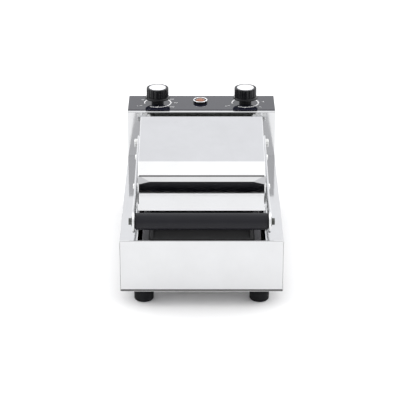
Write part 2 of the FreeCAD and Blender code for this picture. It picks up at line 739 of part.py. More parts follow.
def make_lid_side_bolts():
    """Bolts and nuts that hold the cover between the arms."""
    pieces = []
    for y, z in SIDE_BOLTS:
        wall = LID_HALF_WIDTH - SHEET
        head_top = ARM_OUTER + 2.6
        shank = crossways(SIDE_BOLT_RADIUS, wall - 7, ARM_OUTER, y, z)
        head = crossways(4.8, ARM_OUTER, head_top, y, z)
        head = head.makeFillet(1.5, edges_at(head, lambda p: near(p.x, head_top)))
        nut = crossways(4.6, wall - 4, wall, y, z)
        bolt = fuse([shank, head, nut])
        pieces.extend([bolt, mirrored(bolt)])
    return group(pieces)


def make_grommet(start, direction):
    """Rubber lead bush in a sheet: two lips and a waist around a through hole."""
    def ring(radius, a, b):
        return rod(radius, start + direction * a, start + direction * b)
    whole = fuse([ring(8.5, 0.0, 2.4), ring(GROMMET_HOLE, -SHEET, 0.0), ring(8.5, -SHEET - 2.0, -SHEET)])
    return cut(whole, [ring(3.5, -9, 9)])


# ---------------------------------------------------------------- controls

BUSHING_TOP = 197.0
SHAFT_FOOT = 169.0
NUT_TOP = PANEL_TOP + 2.6


def make_switch_body(x, half_x, half_y, depth):
    """Control body under the panel, with a threaded bushing and a blind bore for its shaft."""
    top = SHEET_TOP - SHEET
    case = box(x - half_x, x + half_x, CONTROL_Y - half_y, CONTROL_Y + half_y, top - depth, top)
    corners = edges_at(case, lambda p: near(abs(p.x - x), half_x) and near(abs(p.y - CONTROL_Y), half_y))
    case = case.makeFillet(2.0, corners)
    bushing = upright(BUSHING_RADIUS, x, CONTROL_Y, top, BUSHING_TOP)
    bore = upright(SHAFT_RADIUS + RUNNING_GAP, x, CONTROL_Y, SHAFT_FOOT - 0.5, BUSHING_TOP + 1)
    tabs = []
    tab_z = top - depth + 8.0
    for tab_x in (x - half_x - 3, x + half_x + 3):
        for tab_y in (CONTROL_Y - 8, CONTROL_Y + 8):
            tabs.append(box(tab_x - 4, tab_x + 4, tab_y - 3, tab_y + 3, tab_z, tab_z + 0.8))
    return cut(fuse([case, bushing] + tabs), [bore])


def make_control_nuts():
    """Nuts that clamp the controls to the panel."""
    nuts = []
    for x in KNOB_PLACES:
        thread = upright(BUSHING_RADIUS, x, CONTROL_Y, PANEL_TOP - 1, NUT_TOP + 1)
        nuts.append(cut(hexagon(x, CONTROL_Y, PANEL_TOP, NUT_TOP, 14.0), [thread]))
    return group(nuts)


KNOB_RADIUS = 18.8
SKIRT_RADIUS = 21.2
KNOB_FOOT = 202.4
SKIRT_EDGE = 0.9
SKIRT_TOP = KNOB_FOOT + 4.2
NECK_RADIUS = 10.5
NECK_WALL = 1.6
FLUTE_COUNT = 12
FLUTE_RADIUS = 4.5
FLUTE_DEPTH = 0.85
KNOB_RIM_RADIUS = 1.0
CAP_RADIUS = 14.25
CAP_SINK = 0.8
SHAFT_TOP = 213.0


def knob_blank(x):
    """Round body of a knob with a thin skirt that sweeps out at its foot."""
    def at(radius, z):
        return Vector(x + radius, CONTROL_Y, z)
    edge_top = KNOB_FOOT + SKIRT_EDGE
    sweep_middle = at((KNOB_RADIUS * 3 + SKIRT_RADIUS) / 4, (edge_top * 3 + SKIRT_TOP) / 4)
    edges = [
        Part.makeLine(at(0, KNOB_FOOT), at(SKIRT_RADIUS, KNOB_FOOT)),
        Part.makeLine(at(SKIRT_RADIUS, KNOB_FOOT), at(SKIRT_RADIUS, edge_top)),
        Part.Arc(at(SKIRT_RADIUS, edge_top), sweep_middle, at(KNOB_RADIUS, SKIRT_TOP)).toShape(),
        Part.makeLine(at(KNOB_RADIUS, SKIRT_TOP), at(KNOB_RADIUS, KNOB_TOP)),
        Part.makeLine(at(KNOB_RADIUS, KNOB_TOP), at(0, KNOB_TOP)),
        Part.makeLine(at(0, KNOB_TOP), at(0, KNOB_FOOT))]
    face = Part.Face(Part.Wire(edges))
    blank = face.revolve(Vector(x, CONTROL_Y, 0), Vector(0, 0, 1), 360)
    rim = edges_at(blank, lambda p: near(p.z, KNOB_TOP))
    return blank.makeFillet(KNOB_RIM_RADIUS, rim)


def make_knob(x):
    """Fluted knob with a skirt, a hollow neck over the nut and a seat for its cap."""
    reach = KNOB_RADIUS - FLUTE_DEPTH + FLUTE_RADIUS
    flutes = []
    for index in range(FLUTE_COUNT):
        angle = 2 * math.pi * (index + 0.5) / FLUTE_COUNT
        flute_x = x + reach * math.cos(angle)
        flute_y = CONTROL_Y + reach * math.sin(angle)
        flutes.append(upright(FLUTE_RADIUS, flute_x, flute_y, SKIRT_TOP, KNOB_TOP + 1))
    neck = upright(NECK_RADIUS, x, CONTROL_Y, PANEL_TOP + 0.5, KNOB_FOOT)
    whole = fuse([cut(knob_blank(x), flutes), neck])
    hollow = upright(NECK_RADIUS - NECK_WALL, x, CONTROL_Y, PANEL_TOP, BUSHING_TOP + 1.0)
    seat = upright(CAP_RADIUS, x, CONTROL_Y, KNOB_TOP - CAP_SINK, KNOB_TOP + 1)
    shaft_hole = upright(SHAFT_RADIUS, x, CONTROL_Y, PANEL_TOP, SHAFT_TOP)
    return cut(whole, [hollow, seat, shaft_hole])


def make_knob_cap(x):
    """Bright disc set into the top of a knob."""
    top = KNOB_TOP + 0.4
    disc = upright(CAP_RADIUS, x, CONTROL_Y, KNOB_TOP - CAP_SINK, top)
    return disc.makeFillet(0.3, edges_at(disc, lambda p: near(p.z, top)))


def make_shaft(x):
    """Control shaft that turns with its knob."""
    return upright(SHAFT_RADIUS, x, CONTROL_Y, SHAFT_FOOT, SHAFT_TOP)


LAMP_RADIUS = 12.0
LAMP_FOOT = 168.0
LAMP_TOP = 196.0
LAMP_RING_INNER = 10.4
LENS_RADIUS = 7.4
LENS_BOTTOM = LAMP_TOP - 2.0


def at_lamp(radius, z0, z1, inner=0.0):
    """Upright round bar on the lamp's axis."""
    return upright(radius, LAMP_X, LAMP_Y, z0, z1, inner)


def make_lamp_body():
    """Black lamp housing: a collar on the panel and a neck through it."""
    collar = at_lamp(LAMP_RADIUS, PANEL_TOP, LAMP_TOP)
    neck = at_lamp(LAMP_NECK_RADIUS, LAMP_FOOT, PANEL_TOP)
    cavity = at_lamp(6.4, LAMP_FOOT + 4, LAMP_TOP + 1)
    seat = at_lamp(LENS_RADIUS, LENS_BOTTOM, LAMP_TOP + 1)
    pieces = [cut(fuse([collar, neck]), [cavity, seat])]
    for x in (LAMP_X - 4.1, LAMP_X + 4.1):
        pieces.append(box(x - 0.4, x + 0.4, LAMP_Y - 2, LAMP_Y + 2, LAMP_FOOT - 10, LAMP_FOOT + 2))
    return fuse(pieces)


def make_lamp_ring():
    """Bright rim on top of the lamp housing."""
    top = LAMP_TOP + 1.4
    ring = at_lamp(LAMP_RADIUS, LAMP_TOP, top, LAMP_RING_INNER)
    return ring.makeFillet(0.6, edges_at(ring, lambda p: near(p.z, top)))


def make_lamp_lens():
    """Amber lens with a shallow dome."""
    height = 1.8
    dome_radius = (LENS_RADIUS ** 2 + height ** 2) / (2 * height)
    ball = Part.makeSphere(dome_radius, Vector(LAMP_X, LAMP_Y, LAMP_TOP + 0.6 + height - dome_radius))
    return ball.common(at_lamp(LENS_RADIUS, LENS_BOTTOM, LAMP_TOP + 6))


def make_lamp_nut():
    """Nut on the lamp's neck, under the panel."""
    top = SHEET_TOP - SHEET
    thread = at_lamp(LAMP_NECK_RADIUS, top - 5, top + 1)
    return cut(hexagon(LAMP_X, LAMP_Y, top - 3.5, top, 20.0), [thread])


# ---------------------------------------------------------------- electrical parts inside the box

BULB_RADIUS = 3.0
BULB_BACK = Vector(62, -10, LOWER_PLATE_BOTTOM - BULB_RADIUS)
BULB_LENGTH = 70.0
CAPILLARY_RADIUS = 0.9
THERMOSTAT_DEPTH = 30.0


def make_bulb():
    """Thermostat bulb clipped under the lower plate."""
    return rod(BULB_RADIUS, BULB_BACK - Vector(0, BULB_LENGTH, 0), BULB_BACK)


def make_capillary():
    """Thin tube from the bulb back to the thermostat, through the heat shield."""
    pass_x, pass_z = CAPILLARY_PASS
    thermostat_foot = Vector(-KNOB_X, CONTROL_Y, SHEET_TOP - SHEET - THERMOSTAT_DEPTH)
    stops = [
        BULB_BACK, Vector(62, 40, 88), Vector(pass_x, 80, pass_z),
        Vector(pass_x, 125, pass_z), Vector(-KNOB_X, 150, 120), thermostat_foot]
    pieces = []
    for start, end in zip(stops, stops[1:]):
        pieces.append(rod(CAPILLARY_RADIUS, start, end))
    for stop in stops[1:-1]:
        pieces.append(Part.makeSphere(CAPILLARY_RADIUS, stop))
    return fuse(pieces)


def make_terminal_block():
    """Ceramic terminal block with a row of wire entries."""
    block = box(20, 60, 160, 182, PAN_TOP, PAN_TOP + 18)
    entry_z = PAN_TOP + 12
    entries = []
    for x in (26, 33, 40, 47, 54):
        entries.append(rod(2.5, Vector(x, 150, entry_z), Vector(x, 190, entry_z)))
    return cut(block, entries)


GLAND_BORE = 4.0
GLAND_LENGTH = 18.0
GLAND_END = ARM_TIP_RADIUS - HANDLE_Y


def gland_ring(radius, y0, y1, inner=0.0):
    return rod(radius, Vector(GLAND_X, y0, GLAND_Z), Vector(GLAND_X, y1, GLAND_Z), inner)


def make_cable_gland():
    """Cable entry in the rear cover."""
    flange = gland_ring(10.5, REAR_COVER_Y + SHEET, GLAND_END)
    flange = flange.makeFillet(1.5, edges_at(flange, lambda p: near(p.y, GLAND_END)))
    body = gland_ring(GLAND_BODY_RADIUS, GLAND_END - GLAND_LENGTH, REAR_COVER_Y + SHEET)
    return cut(fuse([flange, body]), [gland_ring(GLAND_BORE, GLAND_END - 30, GLAND_END + 5)])


def make_gland_nut():
    """Nut on the gland, inside the rear cover."""
    return gland_ring(11.0, REAR_COVER_Y - 5, REAR_COVER_Y, GLAND_BODY_RADIUS)


# ---------------------------------------------------------------- build everything

def build_housing():
    front_and_deck = make_front_and_deck()
    tower = make_tower_panel()
    side = make_side_panel(front_and_deck, tower)
    keep("front_deck_panel", front_and_deck)
    keep("tower_panel", tower)
    keep("side_panel_right", side)
    keep("side_panel_left", mirrored(side))
    keep("rear_cover", make_rear_cover())
    keep("rear_cover_screws", make_rear_cover_screws())
    keep("bottom_pan", make_bottom_pan())
    for name, place in zip(FOOT_NAMES, FOOT_PLACES):
        keep(name, make_foot(*place))
    keep("foot_screws", make_foot_screws())
    keep("panel_overlay", make_panel_overlay())
    keep("heat_shield", make_heat_shield())


def build_lower_works():
    keep("lower_plate", make_lower_plate())
    keep("lower_plate_bolts", make_lower_plate_bolts())
    rail = make_plate_rail()
    keep("plate_rail_right", rail)
    keep("plate_rail_left", mirrored(rail))
    keep("support_bar_front", make_support_bar(FRONT_BAR_Y))
    keep("support_bar_rear", make_support_bar(REAR_BAR_Y))
    keep("lower_element", make_element(LEG_PLACES, -92, -12, LOWER_ELEMENT_Z, 8))
    keep("reflector_pan", make_reflector_pan())
    keep("lower_insulation", make_lower_insulation())


def build_hinge():
    bracket = make_hinge_bracket()
    keep("hinge_bracket_right", bracket)
    keep("hinge_bracket_left", mirrored(bracket))
    keep("hinge_bracket_screws", make_hinge_bracket_screws())
    bolt = make_hinge_bolt()
    keep("hinge_bolts", group([bolt, mirrored(bolt)]))
    bush = make_hinge_bush()
    keep("hinge_bushes", group([bush, mirrored(bush)]))


def build_lid():
    arm = make_lid_arm()
    keep("lid_arm_right", arm)
    keep("lid_arm_left", mirrored(arm))
    keep("handle", make_handle())
    keep("handle_screws", make_handle_screws())
    keep("lid_cover", make_lid_cover())
    keep("lid_base_frame", make_lid_base_frame())
    keep("upper_plate", make_upper_plate())
    keep("upper_plate_bolts", make_upper_plate_bolts())
    keep("upper_element", make_element(LEG_PLACES, -85, -15, UPPER_PLATE_TOP + ELEMENT_RADIUS, 6))
    keep("lid_insulation", make_lid_insulation())
    keep("lid_spacers", make_lid_spacers())
    keep("lid_side_bolts", make_lid_side_bolts())
    keep("lid_lead_grommet", make_grommet(Vector(0, LID_BACK, REAR_LEAD_Z), Vector(0, 1, 0)))
    keep("deck_lead_grommet", make_grommet(Vector(DECK_LEAD[0], DECK_LEAD[1], DECK_TOP), Vector(0, 0, 1)))


def build_controls():
    keep("thermostat_body", make_switch_body(-KNOB_X, 19.0, 16.0, THERMOSTAT_DEPTH))
    keep("timer_body", make_switch_body(KNOB_X, 21.0, 21.0, 36.0))
    keep("control_nuts", make_control_nuts())
    for name, x in (("temperature", -KNOB_X), ("timer", KNOB_X)):
        keep(name + "_knob", make_knob(x))
        keep(name + "_knob_cap", make_knob_cap(x))
        keep(name + "_shaft", make_shaft(x))
    keep("lamp_body", make_lamp_body())
    keep("lamp_ring", make_lamp_ring())
    keep("lamp_lens", make_lamp_lens())
    keep("lamp_nut", make_lamp_nut())
    keep("thermostat_bulb", make_bulb())
    keep("capillary_tube", make_capillary())
    keep("terminal_block", make_terminal_block())
    keep("cable_gland", make_cable_gland())
    keep("gland_nut", make_gland_nut())


build_housing()
build_lower_works()
build_hinge()
build_lid()
build_controls()

os.makedirs("parts", exist_ok=True)
for node, solid in SHAPES.items():
    solid.exportStep("parts/" + node + ".step")
print(len(SHAPES), "nodes written")
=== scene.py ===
import json
import math

import bmesh
import bpy
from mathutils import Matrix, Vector


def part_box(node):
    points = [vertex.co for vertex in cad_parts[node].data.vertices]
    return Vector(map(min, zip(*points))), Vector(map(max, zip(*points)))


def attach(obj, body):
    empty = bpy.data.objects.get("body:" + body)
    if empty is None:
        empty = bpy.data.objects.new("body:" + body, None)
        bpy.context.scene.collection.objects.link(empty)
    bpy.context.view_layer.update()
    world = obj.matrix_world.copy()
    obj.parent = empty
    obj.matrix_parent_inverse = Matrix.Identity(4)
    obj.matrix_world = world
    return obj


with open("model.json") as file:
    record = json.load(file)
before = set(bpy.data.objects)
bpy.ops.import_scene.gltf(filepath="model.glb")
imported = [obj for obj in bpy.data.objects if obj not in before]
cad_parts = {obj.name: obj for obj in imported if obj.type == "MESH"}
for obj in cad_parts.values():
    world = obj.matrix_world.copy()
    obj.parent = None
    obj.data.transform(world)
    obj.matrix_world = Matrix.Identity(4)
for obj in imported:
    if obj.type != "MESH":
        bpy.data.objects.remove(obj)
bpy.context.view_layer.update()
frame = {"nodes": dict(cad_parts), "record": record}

MM = 0.001
NODES = frame["nodes"]


# ---------------------------------------------------------------- node helpers

class Shader:
    """A new material with its Principled shader and short calls for the nodes that feed it."""

    def __init__(self, name, **values):
        self.material = bpy.data.materials.new(name)
        self.material.use_nodes = True
        self.tree = self.material.node_tree
        self.shader = self.tree.nodes["Principled BSDF"]
        for socket, value in values.items():
            self.shader.inputs[socket.replace("_", " ")].default_value = value
        self.place = self.tree.nodes.new("ShaderNodeTexCoord").outputs["Object"]

    def node(self, kind, **settings):
        made = self.tree.nodes.new(kind)
        for key, value in settings.items():
            setattr(made, key, value)
        return made

    def link(self, source, target):
        self.tree.links.new(source, target)

    def stretched(self, scale):
        """The object's own coordinates, scaled per axis."""
        mapping = self.node("ShaderNodeMapping")
        self.link(self.place, mapping.inputs["Vector"])
        mapping.inputs["Scale"].default_value = scale
        return mapping.outputs["Vector"]

    def noise(self, scale, detail=4.0, rough=0.55, stretch=(1, 1, 1)):
        """Noise at a scale per metre, optionally drawn out along an axis."""
        made = self.node("ShaderNodeTexNoise")
        self.link(self.stretched(stretch), made.inputs["Vector"])
        made.inputs["Scale"].default_value = scale
        made.inputs["Detail"].default_value = detail
        made.inputs["Roughness"].default_value = rough
        return made.outputs["Fac"]

    def ranged(self, source, low, high, start=0.0, end=1.0):
        """Maps start..end of the source to low..high."""
        made = self.node("ShaderNodeMapRange")
        self.link(source, made.inputs["Value"])
        made.inputs["From Min"].default_value = start
        made.inputs["From Max"].default_value = end
        made.inputs["To Min"].default_value = low
        made.inputs["To Max"].default_value = high
        return made.outputs["Result"]

    def mixed(self, factor, first, second):
        made = self.node("ShaderNodeMix", data_type="RGBA")
        self.link(factor, made.inputs["Factor"])
        made.inputs["A"].default_value = (*first, 1.0)
        made.inputs["B"].default_value = (*second, 1.0)
        return made.outputs["Result"]

    def added(self, first, second):
        made = self.node("ShaderNodeMath", operation="ADD")
        self.link(first, made.inputs[0])
        self.link(second, made.inputs[1])
        return made.outputs["Value"]

    def color(self, source):
        self.link(source, self.shader.inputs["Base Color"])

    def roughness(self, source):
        self.link(source, self.shader.inputs["Roughness"])

    def bump(self, source, height):
        """Adds a bump of a height in metres on top of any bump already there."""
        made = self.node("ShaderNodeBump")
        made.inputs["Distance"].default_value = height
        made.inputs["Strength"].default_value = 1.0
        self.link(source, made.inputs["Height"])
        socket = self.shader.inputs["Normal"]
        if socket.is_linked:
            self.link(socket.links[0].from_socket, made.inputs["Normal"])
        self.link(made.outputs["Normal"], socket)


# ---------------------------------------------------------------- materials

def polished_steel(name, waviness, grain_stretch):
    """Mirror-polished stainless sheet: slow waves, fine polishing lines and faint smears."""
    s = Shader(name, Metallic=1.0)
    smear = s.noise(22.0, 5.0, 0.62)
    s.color(s.mixed(s.ranged(smear, 0, 1, 0.3, 0.7), (0.614, 0.6175, 0.624), (0.646, 0.651, 0.659)))
    lines = s.noise(900.0, 2.0, 0.5, grain_stretch)
    s.roughness(s.added(s.ranged(smear, 0.035, 0.075), s.ranged(lines, 0.0, 0.03)))
    s.bump(s.noise(7.0, 1.0, 0.4), waviness)
    s.bump(lines, 0.0000012)
    return s.material


def brushed_steel(name, shade, roughness, grain_stretch):
    """Plain sheet with a directional grain."""
    s = Shader(name, Metallic=1.0)
    lines = s.noise(700.0, 3.0, 0.6, grain_stretch)
    cloud = s.noise(18.0, 4.0)
    s.color(s.mixed(cloud, [shade * 0.88] * 3, [shade] * 3))
    s.roughness(s.added(s.ranged(lines, roughness - 0.07, roughness + 0.07), s.ranged(cloud, 0.0, 0.06)))
    s.bump(lines, 0.000006)
    return s.material


def gloss_black(name, tint, roughness, shine):
    """Glossy black plastic with faint unevenness."""
    s = Shader(name, Specular_IOR_Level=shine)
    haze = s.noise(60.0, 4.0)
    s.color(s.mixed(haze, tint, [value * 1.6 for value in tint]))
    s.roughness(s.ranged(haze, roughness * 0.8, roughness * 1.3))
    s.bump(s.noise(900.0, 2.0), 0.000003)
    return s.material


def satin_black(name):
    """Moulded phenolic: satin black with a fine grain."""
    s = Shader(name, Specular_IOR_Level=0.22)
    haze = s.noise(35.0, 5.0)
    s.color(s.mixed(haze, (0.0060, 0.0060, 0.0085), (0.0100, 0.0100, 0.0135)))
    s.roughness(s.ranged(haze, 0.30, 0.40))
    s.bump(s.noise(1400.0, 3.0), 0.000012)
    return s.material


def cast_coating(name, level):
    """Black non-stick coating over a casting: soft pits and a slight sheen."""
    s = Shader(name, Specular_IOR_Level=0.22)
    patch = s.noise(40.0, 5.0)
    grain = s.noise(1500.0, 3.0, 0.6)
    s.color(s.mixed(patch, (level, level, level * 1.08), (level * 1.7, level * 1.7, level * 1.85)))
    s.roughness(s.added(s.ranged(patch, 0.34, 0.46), s.ranged(grain, 0.0, 0.08)))
    s.bump(grain, 0.00004)
    s.bump(s.noise(140.0, 3.0), 0.00006)
    return s.material


def rubber(name):
    """Matt black rubber with a dusty bloom."""
    s = Shader(name, Specular_IOR_Level=0.15)
    bloom = s.noise(90.0, 6.0, 0.65)
    s.color(s.mixed(s.ranged(bloom, 0, 1, 0.35, 0.75), (0.003, 0.0032, 0.0038), (0.009, 0.0095, 0.011)))
    s.roughness(s.ranged(bloom, 0.55, 0.8))
    s.bump(s.noise(1600.0, 3.0), 0.00003)
    return s.material


def zinc(name):
    """Bright zinc plating with a faint mottled colour."""
    s = Shader(name, Metallic=1.0)
    mottle = s.noise(400.0, 3.0)
    s.color(s.mixed(mottle, (0.60, 0.61, 0.62), (0.74, 0.74, 0.72)))
    s.roughness(s.ranged(mottle, 0.18, 0.32))
    s.bump(s.noise(2500.0, 2.0), 0.000008)
    return s.material


def bright_trim(name):
    """Spun aluminium: rings around the upright axis show as fine turning lines."""
    s = Shader(name, Metallic=1.0)
    turning = s.noise(2600.0, 2.0, 0.5, (1, 1, 0.02))
    s.color(s.mixed(turning, (0.86, 0.86, 0.87), (0.95, 0.95, 0.96)))
    s.roughness(s.ranged(turning, 0.16, 0.30))
    s.bump(turning, 0.000004)
    return s.material


def amber_glass(name):
    """Amber lamp lens with a pebbled inside."""
    s = Shader(name, Roughness=0.12, IOR=1.49, Transmission_Weight=0.35)
    pebble = s.noise(900.0, 2.0)
    s.color(s.mixed(pebble, (0.27, 0.085, 0.035), (0.52, 0.21, 0.105)))
    s.bump(pebble, 0.00015)
    return s.material


def mottled(name, dark, light, scale, roughness, grain, metallic=0.0):
    """Plain stuff with mottling: ceramic, pale plastic, mineral wool, copper or heat-tinted metal."""
    s = Shader(name, Metallic=metallic)
    patch = s.noise(scale, 5.0, 0.6)
    s.color(s.mixed(patch, dark, light))
    s.roughness(s.ranged(patch, roughness - 0.08, roughness + 0.08))
    s.bump(s.noise(scale * 12, 4.0), grain)
    return s.material


def print_ink(name):
    """White screen-printing ink."""
    s = Shader(name)
    grain = s.noise(3000.0, 2.0)
    s.color(s.mixed(grain, (0.78, 0.78, 0.78), (0.92, 0.92, 0.92)))
    s.roughness(s.ranged(grain, 0.35, 0.5))
    return s.material


def blackened_steel(name):
    """Black-oxide steel: dark, slightly oily, with paler worn patches."""
    s = Shader(name, Metallic=0.7)
    wear = s.noise(130.0, 5.0, 0.6)
    s.color(s.mixed(s.ranged(wear, 0, 1, 0.4, 0.8), (0.055, 0.058, 0.053), (0.12, 0.125, 0.115)))
    s.roughness(s.ranged(wear, 0.30, 0.46))
    s.bump(s.noise(1300.0, 2.0), 0.000008)
    return s.material


ALONG_X = (0.02, 1, 1)
MATERIALS = {
    "polished_stainless": polished_steel("polished_stainless", 0.00012, ALONG_X),
    "brushed_stainless": brushed_steel("brushed_stainless", 0.62, 0.3, ALONG_X),
    "zinc_steel": zinc("zinc_steel"),
    "black_rubber": rubber("black_rubber"),
    "coated_cast_aluminium": cast_coating("coated_cast_aluminium", 0.004),
    "satin_cast_aluminium": cast_coating("satin_cast_aluminium", 0.040),
    "black_steel": blackened_steel("black_steel"),
    "handle_plastic": satin_black("handle_plastic"),
    "black_plastic": gloss_black("black_plastic", (0.005, 0.005, 0.006), 0.22, 0.2),
    "switch_plastic": mottled(
        "switch_plastic", (0.62, 0.60, 0.54), (0.76, 0.74, 0.68), 40.0, 0.45, 0.00002),
    "bright_trim": bright_trim("bright_trim"),
    "gloss_overlay": gloss_black("gloss_overlay", (0.006, 0.0065, 0.013), 0.035, 0.44),
    "amber_lens": amber_glass("amber_lens"),
    "element_sheath": mottled(
        "element_sheath", (0.10, 0.085, 0.08), (0.24, 0.20, 0.18), 120.0, 0.4, 0.00002, metallic=1.0),
    "mineral_wool": mottled(
        "mineral_wool", (0.50, 0.44, 0.28), (0.74, 0.68, 0.50), 160.0, 0.9, 0.0004),
    "ceramic": mottled("ceramic", (0.76, 0.75, 0.70), (0.88, 0.87, 0.83), 60.0, 0.3, 0.00001),
    "copper": mottled(
        "copper", (0.52, 0.27, 0.17), (0.74, 0.44, 0.30), 90.0, 0.3, 0.00001, metallic=1.0),
}
INK = print_ink("print_ink")
# Dark steel for the painted shade strips on the lid's crease and on the front panel's edges.
SHADE_STEEL = brushed_steel("painted_shade_steel", 0.12, 0.45, ALONG_X)


def paint_frame():
    """Gives every CAD node the material of its slot."""
    slots = {row["node"]: row["material_slot"] for row in frame["record"]["subparts"]}
    for name, node in NODES.items():
        node.data.materials.clear()
        node.data.materials.append(MATERIALS[slots[name]])


# ---------------------------------------------------------------- thin pieces on top of the CAD nodes

def corners(node):
    """The low and high corners of a node's box."""
    low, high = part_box(node)
    return Vector(low), Vector(high)


def add_piece(name, data, body, material):
    """Links a new piece, gives it its material and lets it ride on a body."""
    piece = bpy.data.objects.new(name, data)
    bpy.context.scene.collection.objects.link(piece)
    data.materials.append(material)
    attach(piece, body)
    return piece


def mesh_from(name, rings):
    """Skin over a row of point rings, each with the same number of points, closed at both ends."""
    shape = bmesh.new()
    rows = [[shape.verts.new(point) for point in ring] for ring in rings]
    count = len(rings[0])
    for first, second in zip(rows, rows[1:]):
        for index in range(count):
            after = (index + 1) % count
            shape.faces.new((first[index], first[after], second[after], second[index]))
    shape.faces.new(rows[0])
    shape.faces.new(rows[-1][::-1])
    bmesh.ops.recalc_face_normals(shape, faces=shape.faces)
    mesh = bpy.data.meshes.new(name)
    shape.to_mesh(mesh)
    shape.free()
    return mesh


def along_x(outline, x0, x1):
    """The two end rings of an outline in the YZ plane, stretched along X."""
    return [[(x, y, z) for y, z in outline] for x in (x0, x1)]


LOUVRE_ROWS = 6
LOUVRE_PITCH = 7.5 * MM
LOUVRE_RISE = 1.1 * MM
LOUVRE_HALF = 1.9 * MM
LOUVRE_LIP = 0.3 * MM
REAR_PLATE = 0.8 * MM
REAR_PLATE_GAP = 0.1 * MM
REAR_PLATE_CHAMFER = 0.4 * MM
REAR_PLATE_SIDE_MARGIN = 2.6 * MM
REAR_PLATE_FOOT_MARGIN = 3.0 * MM
REAR_PLATE_TOP_MARGIN = 3.5 * MM


def make_lid_rear_shade_plate():
    """Dark louvred plate on the lid's rear face, above the lead bush: painted shade, whose dark reflection
    in the tower face above the lid stands in for the shade there.
    """
    high = corners("lid_cover")[1]
    bush_top = corners("lid_lead_grommet")[1].z
    side = high.x - REAR_PLATE_SIDE_MARGIN
    foot = bush_top + REAR_PLATE_FOOT_MARGIN
    top = high.z - REAR_PLATE_TOP_MARGIN
    face = high.y + REAR_PLATE_GAP
    skin = face + REAR_PLATE
    outline = [(face, foot), (skin, foot + REAR_PLATE_CHAMFER)]
    first = (foot + top - LOUVRE_PITCH * (LOUVRE_ROWS - 1)) / 2
    for row in range(LOUVRE_ROWS):
        z = first + LOUVRE_PITCH * row
        foot_edge = z - LOUVRE_HALF
        outline.append((skin, foot_edge))
        outline.append((skin + LOUVRE_RISE, foot_edge + LOUVRE_LIP))
        outline.append((skin, z + LOUVRE_HALF))
    outline.extend([(skin, top - REAR_PLATE_CHAMFER), (face, top)])
    mesh = mesh_from("lid_rear_shade_plate", along_x(outline, -side, side))
    add_piece("lid_rear_shade_plate", mesh, "lid", MATERIALS["black_steel"])


CREASE_BEHIND_FOOT = 8.69 * MM
CREASE_BELOW_TOP = 33.8 * MM
BEVEL_RUN = 6.6
BEVEL_RISE = 8.5
BEVEL_LINE = Vector((0, BEVEL_RUN, BEVEL_RISE)).normalized()
# Sizes of the painted shade strip along the lid's crease.
CREASE_SHADE_WIDTH = 2.4 * MM
CREASE_SHADE_THICKNESS = 0.12 * MM
SHADE_BELOW_CREASE = 0.4 * MM
CREASE_SHADE_SIDE_MARGIN = 2.2 * MM


def make_brow_crease_shade():
    """Thin dark strip of painted shade along the crease where the lid's bevel meets its brow."""
    low, high = corners("lid_cover")
    crease = Vector((0, low.y + CREASE_BEHIND_FOOT, high.z - CREASE_BELOW_TOP))
    outwards = Vector((0, -BEVEL_LINE.z, BEVEL_LINE.y))
    lift = outwards * CREASE_SHADE_THICKNESS
    start = crease - BEVEL_LINE * SHADE_BELOW_CREASE
    end = start - BEVEL_LINE * CREASE_SHADE_WIDTH
    outline = [(p.y, p.z) for p in (start, start + lift, end + lift, end)]
    side = high.x - CREASE_SHADE_SIDE_MARGIN
    mesh = mesh_from("lid_brow_crease_shade", along_x(outline, -side, side))
    add_piece("lid_brow_crease_shade", mesh, "lid", SHADE_STEEL)


# Sizes of the painted shade strips on the front panel's edges.
FOOT_SHADE_RISE = 1.2 * MM
FOOT_SHADE_DROP = 1.8 * MM
EDGE_SHADE_WIDTH = 0.5 * MM
EDGE_GAP = 0.02 * MM
EDGE_SKIN = 0.10 * MM
TOP_FOLD = 1.9 * MM


def make_front_edge_shade():
    """Painted shade on the front panel's edges: a dark strip along its foot for the shadow line under the
    box, and a fine dark line up each corner for the darker reflection in the bent edges.
    """
    low, high = corners("front_deck_panel")
    face = low.y - EDGE_GAP
    skin = low.y - EDGE_SKIN
    foot_top = low.z + FOOT_SHADE_RISE
    edge_top = high.z - TOP_FOLD
    edges = (
        ("front_foot_shade", low.x, high.x, low.z - FOOT_SHADE_DROP, foot_top),
        ("front_edge_shade_left", low.x, low.x + EDGE_SHADE_WIDTH, foot_top, edge_top),
        ("front_edge_shade_right", high.x - EDGE_SHADE_WIDTH, high.x, foot_top, edge_top))
    for name, x0, x1, z0, z1 in edges:
        mesh = mesh_from(name, along_x([(face, z0), (skin, z0), (skin, z1), (face, z1)], x0, x1))
        add_piece(name, mesh, "base", SHADE_STEEL)


PRINT_THICKNESS = 0.04 * MM
ARC_INNER = 21.6
ARC_OUTER = 23.6
SCALE_SHIFT = Vector((0, 2.5, 0)) * MM
ARC_FROM = -124.0
ARC_TO = 190.0
ARC_STEP = 5.0


def dial_centre(knob):
    """The point on the overlay that a knob turns about."""
    low, high = corners(knob)
    middle = (low + high) / 2
    return Vector((middle.x, middle.y, corners("panel_overlay")[1].z))


def around(centre, radius, degrees):
    """Point at a radius in millimetres, with 0 degrees to the right and 90 to the back."""
    angle = math.radians(degrees)
    return centre + Vector((math.cos(angle), math.sin(angle), 0)) * radius * MM


def print_arc(name, centre, inner, outer, start, end):
    """Printed ring sector, in millimetres and degrees."""
    steps = max(3, round((end - start) / ARC_STEP))
    lift = Vector((0, 0, PRINT_THICKNESS))
    rings = []
    for step in range(steps + 1):
        degrees = start + (end - start) * step / steps
        near_point = around(centre, inner, degrees)
        far_point = around(centre, outer, degrees)
        rings.append([near_point, far_point, far_point + lift, near_point + lift])
    add_piece(name, mesh_from(name, rings), "base", INK)


def print_tick(name, centre, degrees, inner, outer, width):
    """Printed radial tick."""
    spread = math.degrees(width / (inner + outer))
    print_arc(name, centre, inner, outer, degrees - spread, degrees + spread)


